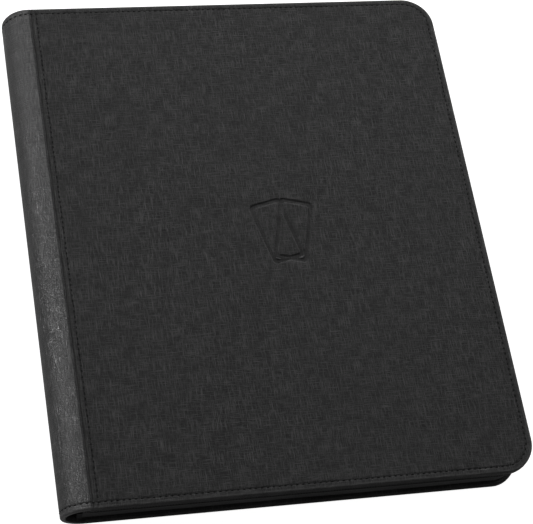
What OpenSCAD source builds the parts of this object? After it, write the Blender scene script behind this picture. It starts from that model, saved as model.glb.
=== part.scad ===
// Zip-around trading card binder: two padded covers, a soft rolling spine, sewn-in pocket pages
// and a zipper on three sides.
// X runs from the spine to the fore edge, Y from the tail to the head, Z up.
// The closed binder lies on its back cover. The origin is the middle of its footprint, on the table.

/* [Covers] */
// Height of the covers from tail to head
cover_h = 340; // [320:1:360]
// Width of a cover from its hinge seam to the fore edge
cover_w = 268; // [258:1:290]
// Closed thickness over both covers
closed_t = 32; // [32:0.5:34]
// Radius of the fore-edge corners
corner_r = 20; // [16:1:26]
// How far the padded front cover stands out past the back cover on the three open sides
back_inset = 2.5; // [0:0.1:3]
// Thickness of the imitation leather
leather_t = 0.9; // [0.6:0.1:1.1]
// Thickness of the foam padding under the leather
foam_t = 1; // [0.6:0.1:1.4]
// Thickness of the stiffener boards
board_t = 2; // [1.6:0.1:2.2]
// Thickness of the inner lining
lining_t = 0.5; // [0.3:0.1:0.6]

/* [Spine] */
// Flat land between the hinge seam and the start of the round spine
land_w = 2; // [2:0.5:3]
// Thickness of the spine staves
stave_t = 1.2; // [0.8:0.1:1.3]

/* [Pages] */
// Width of a page from its sewn root to its free edge
page_w = 238; // [225:1:240]
// Height of a page
page_h = 286; // [270:1:292]
// Thickness of a page with empty pockets
page_t = 0.45; // [0.3:0.05:0.5]
// Distance between neighbouring page roots
page_pitch = 1.12; // [1.05:0.01:1.12]

/* [Zipper] */
// Distance of the zipper tape from the edge of the front cover
tape_inset = 5.5; // [5.2:0.1:7]
// Thickness of the zipper tape
tape_t = 0.6; // [0.4:0.1:0.8]
// Width of one side of the zipper chain, across the tape
chain_w = 2.7; // [2.2:0.1:3]
// Thickness of the zipper chain, through the tape
chain_t = 2.2; // [1.8:0.1:2.3]
// Length of the zipper slider
slider_l = 11; // [9:0.5:14]
// Length of the pull tab beyond its pin
pull_l = 18; // [12:1:18]

/* [Stitching] */
// Distance of the perimeter stitch row from the cover edge
stitch_inset = 4; // [3.5:0.1:5]
// Distance of the hinge stitch row from the hinge seam
seam_stitch = 1.9; // [1.6:0.1:3]
// Width of the sewing thread
thread_w = 0.6; // [0.4:0.1:0.8]
// Depth of the channel that the thread lies in
thread_d = 0.3; // [0.2:0.1:0.4]

/* [Hidden] */
page_count = 20;
stave_count = 5;
arc_step = 6;
fine_step = 15;
mid_z = closed_t / 2;
spine_cx = -land_w;
outer_r = mid_z;
stave_a = 180 / stave_count;

// Layers of a cover, counted from its outside face
foam_z = leather_t;
board_z = foam_z + foam_t;
lining_z = board_z + board_t;
cover_t = lining_z + lining_t;
wall_t = 1;
board_gap = 0.2;
lining_gap = 0.3;

// Layers of the spine, counted inwards; the hinge lines lie on the outside of the staves
hinge_depth = 1.35;
layer_gap = 0.05;
spine_lining_t = 0.4;
spine_leather_in = outer_r - leather_t;
hinge_r = outer_r - hinge_depth;
stave_out = hinge_r - layer_gap;
stave_in = stave_out - stave_t;
spine_lining_out = stave_in - layer_gap;
spine_lining_in = spine_lining_out - spine_lining_t;
stave_gap_a = 0.6;
foam_short = 1;
stave_short = 5;

// Zipper
chain_gap = 0.5;
chain_half = chain_t / 2;
chain_low = mid_z - chain_gap / 2 - chain_w;
tape_start = -4;
chain_start = 0;
stop_l = 2;
stop_x = chain_start - stop_l - 0.1;
end_tab_l = 3;
end_tab_t = 1.8;
end_tab_x = tape_start - end_tab_l - 0.1;
end_tab_short = 0.4;
plate_t = 0.8;
plate_w = 9;
plate_r = 2.5;
plate_clear = 0.3;
web_t = 0.3;
web_l = 3;
web_x = slider_l - web_l - 1;
rim_clear = 0.3;
rim_gap = 0.2;
rim_l = slider_l - 2 * plate_r;
head_y = cover_h - tape_inset;
outer_plate_y = head_y + chain_half + plate_clear;
inner_plate_y = head_y - chain_half - plate_clear - plate_t;
pin_r = 0.6;
pin_clear = 0.05;
barrel_r = 1.1;
barrel_l = 2.6;
pin_x = 7.5;
pin_y = outer_plate_y + plate_t + barrel_r + pin_clear;
ear_t = 0.9;
ear_gap = 0.1;
ear_z = barrel_l / 2 + ear_gap;
pull_t = 1.1;
pull_w = 6;
pull_r = 1.6;
neck_l = 4;
blade_gap = 2.5;

// Pages: the roots lie on a wedge that points from the spine into the binder
root_gap = 0.5;
root_u = 9.4;
spine_u0 = spine_cx - hinge_r;
half_stack = (page_count - 1) / 2;
function root_z(k) = mid_z + (half_stack - k) * page_pitch;
function root_x(k) = spine_u0 + root_u + (half_stack - abs(half_stack - k)) * page_pitch;

// Everything is drawn from the hinge seam and the tail edge, then moved so that the footprint's
// middle is the origin
footprint_x = (cover_w + spine_cx - outer_r) / 2;
module in_place() {
    translate([-footprint_x, -cover_h / 2, 0])
        children();
}

PAGES = [for (k = [1:page_count]) str("page_", k < 10 ? "0" : "", k)];
STAVES = [for (k = [1:stave_count]) str("spine_stave_", k)];

// Points along an arc from angle a to angle b
function arc(c, r, a, b, step = arc_step) =
    let (n = max(1, round(abs(b - a) / step)))
    [for (i = [0:n]) [c.x + r * cos(a + (b - a) * i / n), c.y + r * sin(a + (b - a) * i / n)]];

// Plan of a cover, drawn in from its edge on the three open sides
function plan(inset, start) =
    let (r = corner_r - inset)
    concat(
        [[start, inset]],
        arc([cover_w - corner_r, corner_r], r, -90, 0),
        arc([cover_w - corner_r, cover_h - corner_r], r, 0, 90),
        [[start, cover_h - inset]]);

module slab(inset, start, z, t) {
    translate([0, 0, z])
        linear_extrude(t)
            polygon(plan(inset, start));
}

// A band that follows the three open sides, from one inset to another
module band(inset_a, inset_b, start, z, t) {
    translate([0, 0, z])
        linear_extrude(t)
            polygon(concat(plan(inset_a, start), plan(inset_b, start)),
                paths = [band_path(len(plan(inset_a, start)))]);
}

// The outer outline one way and the inner outline back
function band_path(n) = concat([for (i = [0:n - 1]) i], [for (i = [n - 1:-1:0]) n + i]);

// Turns a piece of the back cover into its twin in the front cover
module to_front() {
    translate([0, 0, closed_t])
        mirror([0, 0, 1])
            children();
}

// A bar along the spine from a profile drawn in X and Z
module along_spine(y0, y1, points) {
    translate([0, y1, 0])
        rotate([90, 0, 0])
            linear_extrude(y1 - y0)
                polygon(points);
}

// --- Covers ---------------------------------------------------------------------------------

module leather_tray(edge) {
    difference() {
        union() {
            slab(edge, spine_cx, 0, leather_t);
            band(edge, edge + wall_t, spine_cx, leather_t, cover_t - leather_t);
        }
        thread_run(edge);
        hinge_run(edge);
    }
}

// The thread on the three open sides, in its channel
module thread_run(edge) {
    inset = edge + stitch_inset;
    band(inset - thread_w / 2, inset + thread_w / 2, seam_stitch + thread_w, 0, thread_d);
}

// The thread along the hinge seam, in its channel
module hinge_run(edge) {
    y0 = edge + stitch_inset;
    translate([seam_stitch - thread_w / 2, y0, 0])
        cube([thread_w, cover_h - 2 * y0, thread_d]);
}

module foam_sheet(edge) {
    slab(edge + wall_t, board_gap, foam_z, foam_t);
}

module board_sheet(edge) {
    slab(edge + wall_t, board_gap, board_z, board_t);
}

module lining_sheet(edge) {
    slab(edge + wall_t, spine_cx + lining_gap, lining_z, lining_t);
}

module rounded_rect(w, h, r) {
    polygon(concat(
        arc([w - r, r], r, -90, 0, fine_step),
        arc([w - r, h - r], r, 0, 90, fine_step),
        arc([r, h - r], r, 90, 180, fine_step),
        arc([r, r], r, 180, 270, fine_step)));
}

// A plain fan of two cards, pressed into the front leather
emblem_x = 140;
emblem_y = 170;
emblem_w = 22;
emblem_h = 43;
emblem_r = 3.5;
emblem_rim = 2.5;
emblem_tilt = 14;
emblem_d = 0.35;
module emblem_recess() {
    translate([emblem_x, emblem_y - emblem_h * cos(emblem_tilt) / 2, 0])
        linear_extrude(emblem_d)
            union() {
                card_outline(emblem_tilt);
                card_outline(-emblem_tilt);
            }
}

// Rim of one card with round corners, tilted about the middle of its lower edge
module card_outline(tilt) {
    rotate(tilt)
        translate([-emblem_w / 2, 0])
            difference() {
                rounded_rect(emblem_w, emblem_h, emblem_r);
                translate([emblem_rim, emblem_rim])
                    rounded_rect(emblem_w - 2 * emblem_rim, emblem_h - 2 * emblem_rim, emblem_r - 2);
            }
}

module back_cover_leather() {
    color("#2b2b2c")
        in_place() leather_tray(back_inset);
}

module back_cover_foam() {
    color("#55575a")
        in_place() foam_sheet(back_inset);
}

module back_cover_board() {
    color("#8b7c63")
        in_place() board_sheet(back_inset);
}

module back_cover_lining() {
    color("#1d1d1f")
        in_place() lining_sheet(back_inset);
}

module back_cover_thread() {
    color("#161616")
        in_place() thread_run(back_inset);
}

module back_hinge_thread() {
    color("#161616")
        in_place() hinge_run(back_inset);
}

module front_cover_leather() {
    color("#2f2f30")
        in_place() to_front()
            difference() {
                leather_tray(0);
                emblem_recess();
            }
}

module front_cover_foam() {
    color("#55575a")
        in_place() to_front() foam_sheet(0);
}

module front_cover_board() {
    color("#8b7c63")
        in_place() to_front() board_sheet(0);
}

module front_cover_lining() {
    color("#1d1d1f")
        in_place() to_front() lining_sheet(0);
}

module front_cover_thread() {
    color("#161616")
        in_place() to_front() thread_run(0);
}

module front_hinge_thread() {
    color("#161616")
        in_place() to_front() hinge_run(0);
}

// --- Spine ----------------------------------------------------------------------------------

// Half-round shell between two radii, open towards the pages
function shell_profile(r_out, r_in) = concat(
    arc([spine_cx, mid_z], r_out, 90, 270),
    arc([spine_cx, mid_z], r_in, 270, 90));

function stave_profile(k) =
    let (a = 270 - (k - 1) * stave_a - stave_gap_a, b = 270 - k * stave_a + stave_gap_a)
    concat(
        arc([spine_cx, mid_z], stave_out, a, b),
        arc([spine_cx, mid_z], stave_in, b, a));

module spine_leather() {
    color("#3a3a3b")
        in_place() along_spine(0, cover_h, shell_profile(outer_r, spine_leather_in));
}

module spine_foam() {
    color("#55575a")
        in_place() along_spine(foam_short, cover_h - foam_short, shell_profile(spine_leather_in, hinge_r));
}

module spine_lining() {
    color("#1d1d1f")
        in_place()
            along_spine(foam_short, cover_h - foam_short, shell_profile(spine_lining_out, spine_lining_in));
}

module spine_stave(k) {
    color("#8b7c63")
        in_place() along_spine(stave_short, cover_h - stave_short, stave_profile(k));
}

// --- Pages ----------------------------------------------------------------------------------

// Sewn block that holds the page roots: its sloping faces keep clear of every root as it turns
page_y0 = (cover_h - page_h) / 2;
page_y1 = (cover_h + page_h) / 2;
strip_half = half_stack * page_pitch - root_gap;
strip_x = spine_u0 + root_u;
strip_clear = 0.1;
module page_binding_strip() {
    base_x = spine_cx - sqrt(pow(spine_lining_in - strip_clear, 2) - pow(strip_half, 2));
    color("#1a1a1b")
        in_place() along_spine(page_y0, page_y1, [
            [base_x, mid_z - strip_half],
            [strip_x, mid_z - strip_half],
            [strip_x + strip_half, mid_z],
            [strip_x, mid_z + strip_half],
            [base_x, mid_z + strip_half]]);
}

// One page: a dark core sheet with clear pockets welded on, free corners rounded
page_r = 4;
module page(k) {
    x0 = root_x(k - 1);
    x1 = x0 + page_w;
    color("#26282c")
        in_place() translate([0, 0, root_z(k - 1) - page_t / 2])
            linear_extrude(page_t)
                polygon(concat(
                    [[x0, page_y0]],
                    arc([x1 - page_r, page_y0 + page_r], page_r, -90, 0, fine_step),
                    arc([x1 - page_r, page_y1 - page_r], page_r, 0, 90, fine_step),
                    [[x0, page_y1]]));
}

// --- Zipper ---------------------------------------------------------------------------------

module tape_half() {
    band(tape_inset - tape_t / 2, tape_inset + tape_t / 2, tape_start, cover_t, chain_low - cover_t);
}

module chain_half_run() {
    band(tape_inset - chain_half, tape_inset + chain_half, chain_start, chain_low, chain_w);
}

// Crimped stop beside the first tooth of a half
module chain_stop(y) {
    translate([stop_x, y - chain_half, chain_low])
        cube([stop_l, chain_t, chain_w]);
}

module zipper_tape_back() {
    color("#17171a")
        in_place() tape_half();
}

module zipper_tape_front() {
    color("#17171a")
        in_place() to_front() tape_half();
}

module zipper_chain_back() {
    color("#0f0f10")
        in_place() chain_half_run();
}

module zipper_chain_front() {
    color("#0f0f10")
        in_place() to_front() chain_half_run();
}

module zipper_head_stop_back() {
    color("#3c3c3e")
        in_place() chain_stop(head_y);
}

module zipper_head_stop_front() {
    color("#3c3c3e")
        in_place() to_front() chain_stop(head_y);
}

// Bottom box at the tail end, crimped on the back half
module zipper_tail_box() {
    color("#3c3c3e")
        in_place() chain_stop(tape_inset);
}

// Cloth tab folded round the end of the back tape
module end_tab(y) {
    translate([end_tab_x, y - end_tab_t / 2, cover_t])
        cube([end_tab_l, end_tab_t, chain_low - cover_t - end_tab_short]);
}

module zipper_end_tab_head() {
    color("#1a1a1b")
        in_place() end_tab(head_y);
}

module zipper_end_tab_tail() {
    color("#1a1a1b")
        in_place() end_tab(tape_inset);
}

module slider_plate(y) {
    translate([0, y + plate_t, mid_z - plate_w / 2])
        rotate([90, 0, 0])
            linear_extrude(plate_t)
                rounded_rect(slider_l, plate_w, plate_r);
}

// Two plates joined by a thin web between the halves of the chain. The lower rims hook behind
// the back half. The front half lifts out freely as the cover opens.
module zipper_slider() {
    rim_z = mid_z - plate_w / 2;
    rim_h = chain_low - rim_gap - rim_z;
    rim_w = outer_plate_y + plate_t / 2 - head_y - tape_t / 2 - rim_clear;
    color("#2c2c2e")
        in_place() difference() {
            union() {
                slider_plate(outer_plate_y);
                slider_plate(inner_plate_y);
                translate([web_x, inner_plate_y + plate_t / 2, mid_z - web_t / 2])
                    cube([web_l, outer_plate_y - inner_plate_y, web_t]);
                for (y = [head_y + tape_t / 2 + rim_clear, inner_plate_y + plate_t / 2])
                    translate([plate_r, y, rim_z])
                        cube([rim_l, rim_w, rim_h]);
                for (z = [mid_z + ear_z, mid_z - ear_z - ear_t])
                    slider_ear(z);
            }
            pull_axis(ear_t + ear_z, pin_r);
        }
}

// Ear that holds one end of the pull's pin
module slider_ear(z) {
    translate([pin_x - barrel_r, outer_plate_y + plate_t / 2, z])
        cube([2 * barrel_r, pin_y - outer_plate_y - plate_t / 2, ear_t]);
    translate([pin_x, pin_y, z])
        cylinder(h = ear_t, r = barrel_r, $fn = 48);
}

module pull_axis(half_l, r) {
    translate([pin_x, pin_y, mid_z - half_l])
        cylinder(h = 2 * half_l, r = r, $fn = 48);
}

module zipper_pull_pin() {
    color("#4a4a4c")
        in_place() pull_axis(ear_t + ear_z, pin_r);
}

module zipper_pull_tab() {
    color("#2c2c2e")
        in_place() difference() {
            union() {
                translate([pin_x, pin_y, mid_z - barrel_l / 2])
                    cylinder(h = barrel_l, r = barrel_r, $fn = 48);
                translate([pin_x - neck_l, pin_y - pull_t / 2, mid_z - barrel_l / 2])
                    cube([neck_l, pull_t, barrel_l]);
                pull_blade();
            }
            pull_axis(barrel_l, pin_r + pin_clear);
        }
}

module pull_blade() {
    translate([pin_x - pull_l, pin_y + pull_t / 2, mid_z - pull_w / 2])
        rotate([90, 0, 0])
            linear_extrude(pull_t)
                rounded_rect(pull_l - blade_gap, pull_w, pull_r);
}

back_cover_leather();
back_cover_foam();
back_cover_board();
back_cover_lining();
back_cover_thread();
back_hinge_thread();
front_cover_leather();
front_cover_foam();
front_cover_board();
front_cover_lining();
front_cover_thread();
front_hinge_thread();
spine_leather();
spine_foam();
spine_lining();
for (k = [1:stave_count])
    spine_stave(k);
page_binding_strip();
for (k = [1:page_count])
    page(k);
zipper_tape_back();
zipper_tape_front();
zipper_chain_back();
zipper_chain_front();
zipper_head_stop_back();
zipper_head_stop_front();
zipper_tail_box();
zipper_end_tab_head();
zipper_end_tab_tail();
zipper_slider();
zipper_pull_pin();
zipper_pull_tab();
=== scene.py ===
import math

import bpy
import numpy as np
from mathutils import Matrix, Vector, noise


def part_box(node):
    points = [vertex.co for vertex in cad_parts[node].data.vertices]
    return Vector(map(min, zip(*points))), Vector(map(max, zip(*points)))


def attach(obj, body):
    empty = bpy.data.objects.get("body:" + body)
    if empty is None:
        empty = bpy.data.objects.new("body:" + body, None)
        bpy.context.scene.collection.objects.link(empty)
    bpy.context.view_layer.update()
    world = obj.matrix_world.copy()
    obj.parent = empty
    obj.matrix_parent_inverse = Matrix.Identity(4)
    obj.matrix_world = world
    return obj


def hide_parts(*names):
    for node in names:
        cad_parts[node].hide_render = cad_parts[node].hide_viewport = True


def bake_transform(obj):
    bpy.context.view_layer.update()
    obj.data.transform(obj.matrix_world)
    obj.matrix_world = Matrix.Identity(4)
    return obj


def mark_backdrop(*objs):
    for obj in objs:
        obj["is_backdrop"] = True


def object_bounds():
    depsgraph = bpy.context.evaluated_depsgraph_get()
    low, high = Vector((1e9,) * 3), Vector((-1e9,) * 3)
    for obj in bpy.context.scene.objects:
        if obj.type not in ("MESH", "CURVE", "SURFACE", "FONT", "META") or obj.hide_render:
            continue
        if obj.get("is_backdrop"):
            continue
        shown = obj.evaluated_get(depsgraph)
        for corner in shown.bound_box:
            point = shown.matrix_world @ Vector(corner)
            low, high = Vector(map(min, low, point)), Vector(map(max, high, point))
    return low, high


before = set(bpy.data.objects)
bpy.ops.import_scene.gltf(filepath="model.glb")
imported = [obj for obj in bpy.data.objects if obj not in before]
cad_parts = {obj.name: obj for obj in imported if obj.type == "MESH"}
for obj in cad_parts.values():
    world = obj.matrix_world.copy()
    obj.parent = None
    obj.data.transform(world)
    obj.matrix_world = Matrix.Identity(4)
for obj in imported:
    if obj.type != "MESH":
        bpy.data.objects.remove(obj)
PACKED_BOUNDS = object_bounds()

bl_info = {
    "name": "Zip-around card binder",
    "version": (1, 0, 0),
    "blender": (4, 5, 0),
    "location": "View3D > Sidebar > Binder",
    "description": "Builds the visible pieces of a padded card binder on its packed CAD frame",
    "category": "Object",
}

# --- The frame ---

MM = 0.001
FRONT_LO, FRONT_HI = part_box("front_cover_leather")
BACK_LO, BACK_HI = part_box("back_cover_leather")
SPINE_LO, SPINE_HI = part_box("spine_leather")
TAPE_LO, TAPE_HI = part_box("zipper_tape_back")
CHAIN_LO, CHAIN_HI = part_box("zipper_chain_back")
SEAM_X = FRONT_LO.x
THICK = FRONT_HI.z
MID_Z = THICK / 2
STAVE_A = math.pi / 5
STRIP_ENDS = [0.0] + [(k + 0.5) * STAVE_A for k in range(5)] + [math.pi]
PAGES = sorted(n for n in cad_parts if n.startswith("page_") and n[5:].isdigit())
STAVES = sorted(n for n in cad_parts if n.startswith("spine_stave_"))


# --- Settings ---


def length(name, description, default):
    return bpy.props.FloatProperty(name=name, description=description, default=default, unit="LENGTH")


def degrees(name, description, default):
    return bpy.props.FloatProperty(
        name=name, description=description, default=math.radians(default), subtype="ANGLE"
    )


class BinderCoverSettings(bpy.types.PropertyGroup):
    corner_radius: length("Corner radius", "Radius of the fore-edge corners", 20 * MM)
    wall: length("Wall height", "Height of the turned edge of a cover", 4.4 * MM)
    edge_round: length("Edge round", "Radius of the folded leather edge", 1.2 * MM)
    channel: length("Channel depth", "How deep the stitching pulls the padding in", 0.3 * MM)
    groove: length("Hinge groove depth", "Depth of the groove beside the round spine", 0.7 * MM)
    puff: length("Waviness", "How far the padding sinks and swells across a cover", 0.16 * MM)
    press: length("Emblem depth", "Depth of the pressed card emblem", 0.5 * MM)
    turn_in: length("Turn-in", "Width of the leather folded over to the inside", 5 * MM)


class BinderStitchSettings(bpy.types.PropertyGroup):
    pitch: length("Stitch pitch", "Distance from one stitch to the next", 3.5 * MM)
    length: length("Stitch length", "Visible length of a stitch", 1.95 * MM)
    thread: length("Thread", "Thickness of the sewing thread", 0.8 * MM)
    inset: length("Inset", "Distance of the stitch row from the edge", 4 * MM)
    hinge_inset: length("Hinge inset", "Distance of the hinge row from the crease", 2.8 * MM)


class BinderPageSettings(bpy.types.PropertyGroup):
    columns: bpy.props.IntProperty(name="Columns", description="Pockets across a page", default=3)
    rows: bpy.props.IntProperty(name="Rows", description="Pockets up a page", default=3)
    root_margin: length("Root margin", "Plain strip beside the sewn root", 20 * MM)
    weld: length("Weld width", "Width of the welded lines between pockets", 2.4 * MM)
    pillow: length("Pocket rise", "How far the clear film stands off the page", 0.12 * MM)


class BinderZipSettings(bpy.types.PropertyGroup):
    pitch: length("Tooth pitch", "Distance from tooth to tooth on one half", 1.7 * MM)
    rib: length("Rib height", "Height of the woven ribs on the tape", 0.14 * MM)


class BinderStageSettings(bpy.types.PropertyGroup):
    azimuth: degrees("Azimuth", "Direction of the camera round the binder", -28.906)
    elevation: degrees("Elevation", "Height of the camera above the table", 60.347)
    roll: degrees("Roll", "Turn of the camera about its own axis", 22.261)
    distance: length("Distance", "Camera to the point it aims at", 1164.6 * MM)
    lens: bpy.props.FloatProperty(name="Lens", description="Focal length in millimetres", default=128.275)


# --- Meshes ---


def collection():
    found = bpy.data.collections.get("Binder")
    if found is None:
        found = bpy.data.collections.new("Binder")
        bpy.context.scene.collection.children.link(found)
    return found


def new_piece(name, points, faces, material, fields=None, crease=35.0):
    """A smooth-shaded mesh object with sharp edges where faces meet at more than the crease angle."""
    mesh = bpy.data.meshes.new(name)
    mesh.from_pydata(np.asarray(points, float).tolist(), [], faces)
    mesh.validate()
    for key, values in (fields or {}).items():
        kind, field = ("FLOAT_VECTOR", "vector") if np.ndim(values) == 2 else ("FLOAT", "value")
        stored = mesh.attributes.new(key, kind, "POINT")
        stored.data.foreach_set(field, np.asarray(values, np.float32).ravel())
    mesh.shade_smooth()
    mesh.set_sharp_from_angle(angle=math.radians(crease))
    mesh.materials.append(material)
    made = bpy.data.objects.new(name, mesh)
    collection().objects.link(made)
    return made


def grid_faces(rows, columns, start=0, flip=False):
    """Quads between rows of points that were listed row by row."""
    r, c = np.meshgrid(np.arange(rows - 1), np.arange(columns - 1), indexing="ij")
    a = start + (r * columns + c).ravel()
    quads = np.stack([a, a + 1, a + columns + 1, a + columns], 1)
    return (quads[:, ::-1] if flip else quads).tolist()


def tube_faces(rings, sides, flip=False):
    """Quads round closed rings of points, with a face over each end."""
    quads = []
    for k in range(rings - 1):
        for i in range(sides):
            j = (i + 1) % sides
            quads.append([k * sides + i, k * sides + j, (k + 1) * sides + j, (k + 1) * sides + i])
    last = (rings - 1) * sides
    quads.append(list(range(sides))[::-1])
    quads.append(list(range(last, last + sides)))
    return [q[::-1] for q in quads] if flip else quads


def graded(start, end, coarse, spans=()):
    """Positions from start to end, closer together inside the spans (from, to, step)."""
    places = [start]
    while places[-1] < end - 1e-9:
        at = places[-1]
        step = min([coarse] + [fine for a, b, fine in spans if a - 1e-9 <= at < b - 1e-9])
        for a, _, _ in spans:
            if at < a - 1e-9 < at + step:
                step = a - at
        places.append(at + step if end - at - step > step / 3 else end)
    return np.array(places)


def open_outline(lo, hi, radius, xs, ys, corner_steps):
    """Points and outward normals round the three open sides, from the tail of the seam to its head."""
    points, normals = [], []

    def straight(px, py, normal):
        for x, y in zip(px, py):
            points.append((x, y))
            normals.append(normal)

    def corner(cx, cy, first):
        for k in range(1, corner_steps):
            a = first + math.pi / 2 * k / corner_steps
            points.append((cx + radius * math.cos(a), cy + radius * math.sin(a)))
            normals.append((math.cos(a), math.sin(a)))

    straight(xs, [lo.y] * len(xs), (0, -1))
    corner(hi.x - radius, lo.y + radius, -math.pi / 2)
    straight([hi.x] * len(ys), ys, (1, 0))
    corner(hi.x - radius, hi.y - radius, 0)
    straight(xs[::-1], [hi.y] * len(xs), (0, 1))
    return np.array(points), np.array(normals)


def inset_from_edge(x, y, lo, hi, radius):
    """Distance in from the three open sides of a cover."""
    plain = np.minimum(np.minimum(y - lo.y, hi.y - y), hi.x - x)
    dx = x - (hi.x - radius)
    dy = np.maximum(lo.y + radius - y, y - (hi.y - radius))
    round_corner = radius - np.hypot(np.maximum(dx, 0), np.maximum(dy, 0))
    return np.where((dx > 0) & (dy > 0), round_corner, plain)


def coons(bottom, right, top, left):
    """A patch of points between four sides that share their ends: rows run from left to right."""
    u = ((bottom[:, 0] - bottom[0, 0]) / (bottom[-1, 0] - bottom[0, 0]))[None, :, None]
    v = ((left[:, 1] - left[0, 1]) / (left[-1, 1] - left[0, 1]))[:, None, None]
    ruled = (1 - v) * bottom[None] + v * top[None] + (1 - u) * left[:, None] + u * right[:, None]
    twist = (1 - u) * (1 - v) * bottom[0] + u * (1 - v) * bottom[-1] + (1 - u) * v * top[0] + u * v * top[-1]
    return ruled - twist


# Insets from the edge, in mm, of the point rows that model the folded edge and the stitch channel
EDGE_ROWS = (0.0, 0.05, 0.15, 0.3, 0.5, 0.75, 1.05, 1.4, 1.8, 2.2, 2.6, 3.0)  # the fold and the flat rim
EDGE_ROWS += (3.35, 3.7, 4.0, 4.3, 4.65, 5.0, 5.4, 5.9, 6.5, 7.2, 8.0)  # the channel and the first swell
CHANNEL_HALF = 0.55 * MM
EDGE_SOFT = 0.16 * MM
SOFT_REACH = 5 * MM
# Place and half width of the paler line inside each edge: rubbed wear, and a painted highlight where the
# folded edge turns to the light
RUB_SHEEN_AT, RUB_SHEEN_HALF = 0.9 * MM, 0.8 * MM


def edge_drop(inset, cover, stitch):
    """How far the outer face lies below its plane at a distance in from the edge."""
    r = cover.edge_round
    rounded = np.where(inset < r, r - np.sqrt(np.maximum(r * r - (r - np.minimum(inset, r)) ** 2, 0)), 0)
    channel = cover.channel * np.exp(-(((inset - stitch.inset) / CHANNEL_HALF) ** 2))
    return rounded + channel + EDGE_SOFT * np.exp(-inset / SOFT_REACH)


GROOVE_AT, GROOVE_HALF = -0.1 * MM, 0.42 * MM
HINGE_CHANNEL_HALF = 0.5 * MM
HINGE_DEEPER = 0.15 * MM
LAND = 2 * MM


def seam_drop(from_crease, cover, stitch):
    """Depth of the hinge groove and of the stitch channel beside it, by distance from the crease."""
    groove = cover.groove * np.exp(-(((from_crease - GROOVE_AT) / GROOVE_HALF) ** 2))
    from_row = from_crease - stitch.hinge_inset
    channel = (cover.channel + HINGE_DEEPER) * np.exp(-((from_row / HINGE_CHANNEL_HALF) ** 2))
    return groove + channel


def joined_drops(a, b):
    """The deeper of two drops, with a soft change from one to the other."""
    return (a**3 + b**3) ** (1 / 3)


def rub_and_highlight_mask(inset):
    """1 on the line just inside an edge that is drawn paler, as rubbed wear and as a painted highlight,
    fading to 0 away from it.
    """
    return np.exp(-(((inset - RUB_SHEEN_AT) / RUB_SHEEN_HALF) ** 2))


SWELLS = ((45 * MM, 0.65), (18 * MM, 0.35))


def waviness(points, cover, seed):
    """Slow swells in the padding, never above the cover's plane."""
    total = np.zeros(len(points))
    for size, share in SWELLS:
        total += share * np.array([noise.noise(Vector((x / size, y / size, seed))) for x, y in points])
    return cover.puff * np.clip(0.5 - 0.8 * total, 0, 1)


# The pressed emblem: a plain fan of two cards
EMBLEM_AT = Vector((15 * MM, 0))
CARD_W, CARD_H, CARD_R, CARD_RIM = 22 * MM, 43 * MM, 3.5 * MM, 3 * MM
CARD_TILT = math.radians(14)
PRESS_SOFT = 0.45 * MM
EMBLEM_REACH_X, EMBLEM_REACH_Y = 24 * MM, 26 * MM


def rounded_distance(x, y, half_w, half_h, radius):
    """Signed distance to a rectangle with round corners, below zero inside."""
    qx, qy = np.abs(x) - half_w + radius, np.abs(y) - half_h + radius
    return np.hypot(np.maximum(qx, 0), np.maximum(qy, 0)) + np.minimum(np.maximum(qx, qy), 0) - radius


def emblem_mask(x, y):
    """1 on the rims of the two cards and 0 elsewhere."""
    foot_y = EMBLEM_AT.y - CARD_H * math.cos(CARD_TILT) / 2
    total = np.zeros(len(x))
    for tilt in (CARD_TILT, -CARD_TILT):
        dx, dy = x - EMBLEM_AT.x, y - foot_y
        u = dx * math.cos(tilt) + dy * math.sin(tilt)
        v = -dx * math.sin(tilt) + dy * math.cos(tilt) - CARD_H / 2
        outer = rounded_distance(u, v, CARD_W / 2, CARD_H / 2, CARD_R)
        inner = rounded_distance(u, v, CARD_W / 2 - CARD_RIM, CARD_H / 2 - CARD_RIM, CARD_R - 2 * MM)
        rim = np.clip(0.5 - outer / PRESS_SOFT, 0, 1) * np.clip(0.5 + inner / PRESS_SOFT, 0, 1)
        total = np.maximum(total, rim)
    return total


INNER_WALL = 1.0 * MM
SKIN = 0.88 * MM
FOLD_GAP = 0.02 * MM
FOLD_T = 0.35 * MM
CORNER_STEPS = 32
COARSE, EMBLEM_STEP = 1.9 * MM, 0.5 * MM
SEAM_SPAN, SEAM_STEP = 7 * MM, 0.28 * MM
# Half width and strength of the painted highlight line along the hinge crease
CREASE_HIGHLIGHT_HALF, CREASE_HIGHLIGHT_SHARE = 0.35 * MM, 0.7


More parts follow.
